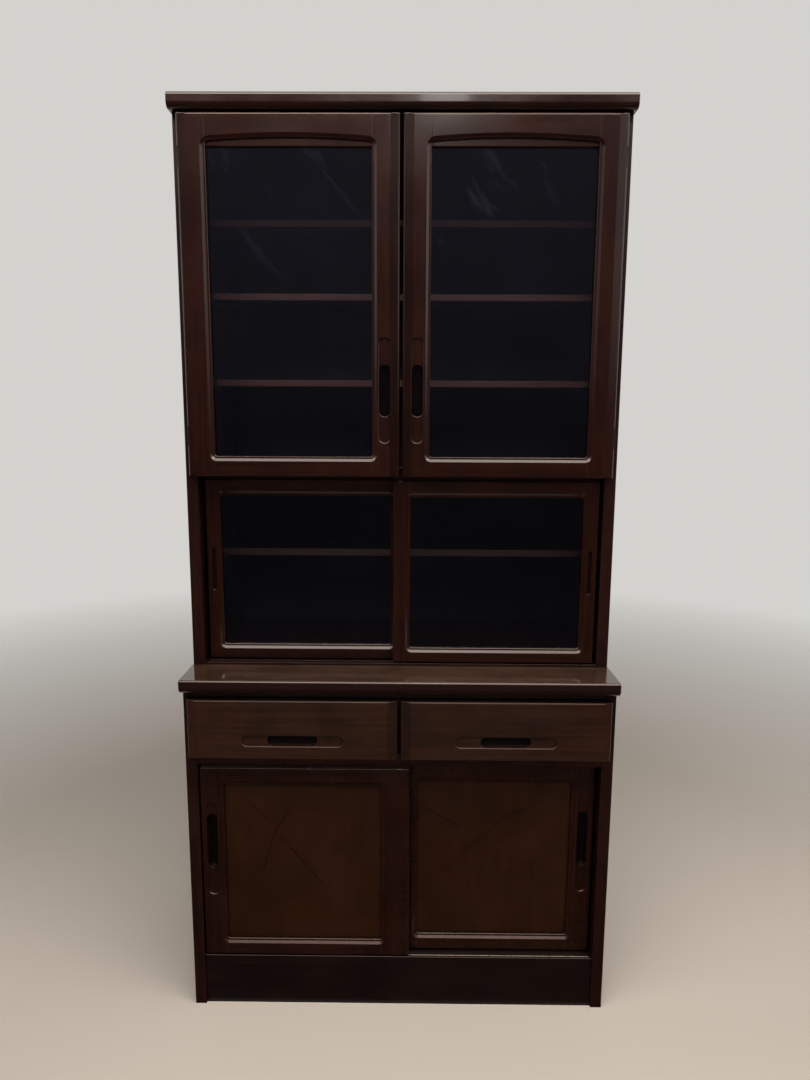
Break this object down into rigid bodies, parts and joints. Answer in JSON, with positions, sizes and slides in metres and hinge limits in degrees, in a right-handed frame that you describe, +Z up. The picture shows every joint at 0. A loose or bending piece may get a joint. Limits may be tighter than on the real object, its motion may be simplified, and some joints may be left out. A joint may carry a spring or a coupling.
{
  "type": "kitchen cabinet",
  "caption": "Tall two-part lacquered kitchen cabinet with hinged arched glass doors, sliding glass doors, drawers under a counter board and sliding wooden doors.",
  "frame": {"origin": "on the floor, under the middle of the cabinet's bounding box", "axes": "+Z up, -Y out of the front with the doors and drawers, +X to the right as one faces the front"},
  "size_m": [0.884, 0.46, 1.86],
  "materials": {
    "dark_lacquer": "gloss",
    "warm_lacquer": "satin",
    "gloss_lacquer": "gloss",
    "inner_wood": "matte",
    "glass": "polished",
    "hinge_metal": "satin",
    "plated_steel": "satin",
    "catch_plastic": "matte"
  },
  "bodies": {
    "root": {"counter_rail": "dark_lacquer", "counter_top": "gloss_lacquer", "crown_board": "gloss_lacquer", "drawer_divider": "inner_wood", "drawer_kickers": "inner_wood", "dust_board": "dark_lacquer", "hinge_fixed_leaves": "hinge_metal", "kick_board": "warm_lacquer", "lower_back_panel": "inner_wood", "lower_bottom_board": "dark_lacquer", "lower_shelf": "inner_wood", "lower_shelf_cleats": "inner_wood", "lower_side_left": "dark_lacquer", "lower_side_right": "dark_lacquer", "magnet_catches": "catch_plastic", "middle_board": "dark_lacquer", "slider_shelf": "inner_wood", "track_sill": "dark_lacquer", "upper_back_panel": "inner_wood", "upper_shelf_cleats": "inner_wood", "upper_shelf_low": "inner_wood", "upper_shelf_middle": "inner_wood", "upper_shelf_top": "inner_wood", "upper_side_left": "dark_lacquer", "upper_side_right": "dark_lacquer"},
    "upper_door_left": {"upper_door_left_arched_valance": "dark_lacquer", "upper_door_left_bottom_rail": "dark_lacquer", "upper_door_left_glass": "glass", "upper_door_left_hinge_leaves": "hinge_metal", "upper_door_left_hinge_stile": "dark_lacquer", "upper_door_left_pull_stile": "dark_lacquer", "upper_door_left_strike_plate": "plated_steel", "upper_door_left_top_rail": "dark_lacquer"},
    "upper_door_right": {"upper_door_right_arched_valance": "dark_lacquer", "upper_door_right_bottom_rail": "dark_lacquer", "upper_door_right_glass": "glass", "upper_door_right_hinge_leaves": "hinge_metal", "upper_door_right_hinge_stile": "dark_lacquer", "upper_door_right_pull_stile": "dark_lacquer", "upper_door_right_strike_plate": "plated_steel", "upper_door_right_top_rail": "dark_lacquer"},
    "glass_slider_left": {"glass_slider_left_glass": "glass", "glass_slider_left_rails": "dark_lacquer", "glass_slider_left_stiles": "dark_lacquer"},
    "glass_slider_right": {"glass_slider_right_glass": "glass", "glass_slider_right_rails": "dark_lacquer", "glass_slider_right_stiles": "dark_lacquer"},
    "drawer_left": {"drawer_left_bottom": "inner_wood", "drawer_left_box": "inner_wood", "drawer_left_front": "dark_lacquer"},
    "drawer_right": {"drawer_right_bottom": "inner_wood", "drawer_right_box": "inner_wood", "drawer_right_front": "dark_lacquer"},
    "wood_slider_left": {"wood_slider_left_panel": "warm_lacquer", "wood_slider_left_rails": "warm_lacquer", "wood_slider_left_stiles": "warm_lacquer"},
    "wood_slider_right": {"wood_slider_right_panel": "warm_lacquer", "wood_slider_right_rails": "warm_lacquer", "wood_slider_right_stiles": "warm_lacquer"}
  },
  "joints": [
    {"name": "upper_door_left_hinge", "type": "hinge", "parent": "root", "child": "upper_door_left", "pos_m": [-0.43, -0.1292, 1.4845], "axis": [0, 0, -1], "range_deg": [0, 110]},
    {"name": "upper_door_right_hinge", "type": "hinge", "parent": "root", "child": "upper_door_right", "pos_m": [0.43, -0.1292, 1.4845], "axis": [0, 0, 1], "range_deg": [0, 110]},
    {"name": "glass_slider_left_slide", "type": "slide", "parent": "root", "child": "glass_slider_left", "axis": [1, 0, 0], "range_m": [-0.005, 0.401]},
    {"name": "glass_slider_right_slide", "type": "slide", "parent": "root", "child": "glass_slider_right", "axis": [1, 0, 0], "range_m": [-0.4, 0.006]},
    {"name": "drawer_left_slide", "type": "slide", "parent": "root", "child": "drawer_left", "axis": [0, -1, 0], "range_m": [0, 0.3]},
    {"name": "drawer_right_slide", "type": "slide", "parent": "root", "child": "drawer_right", "axis": [0, -1, 0], "range_m": [0, 0.3]},
    {"name": "wood_slider_left_slide", "type": "slide", "parent": "root", "child": "wood_slider_left", "axis": [1, 0, 0], "range_m": [-0.001, 0.393]},
    {"name": "wood_slider_right_slide", "type": "slide", "parent": "root", "child": "wood_slider_right", "axis": [1, 0, 0], "range_m": [-0.39, 0.0035]}
  ]
}
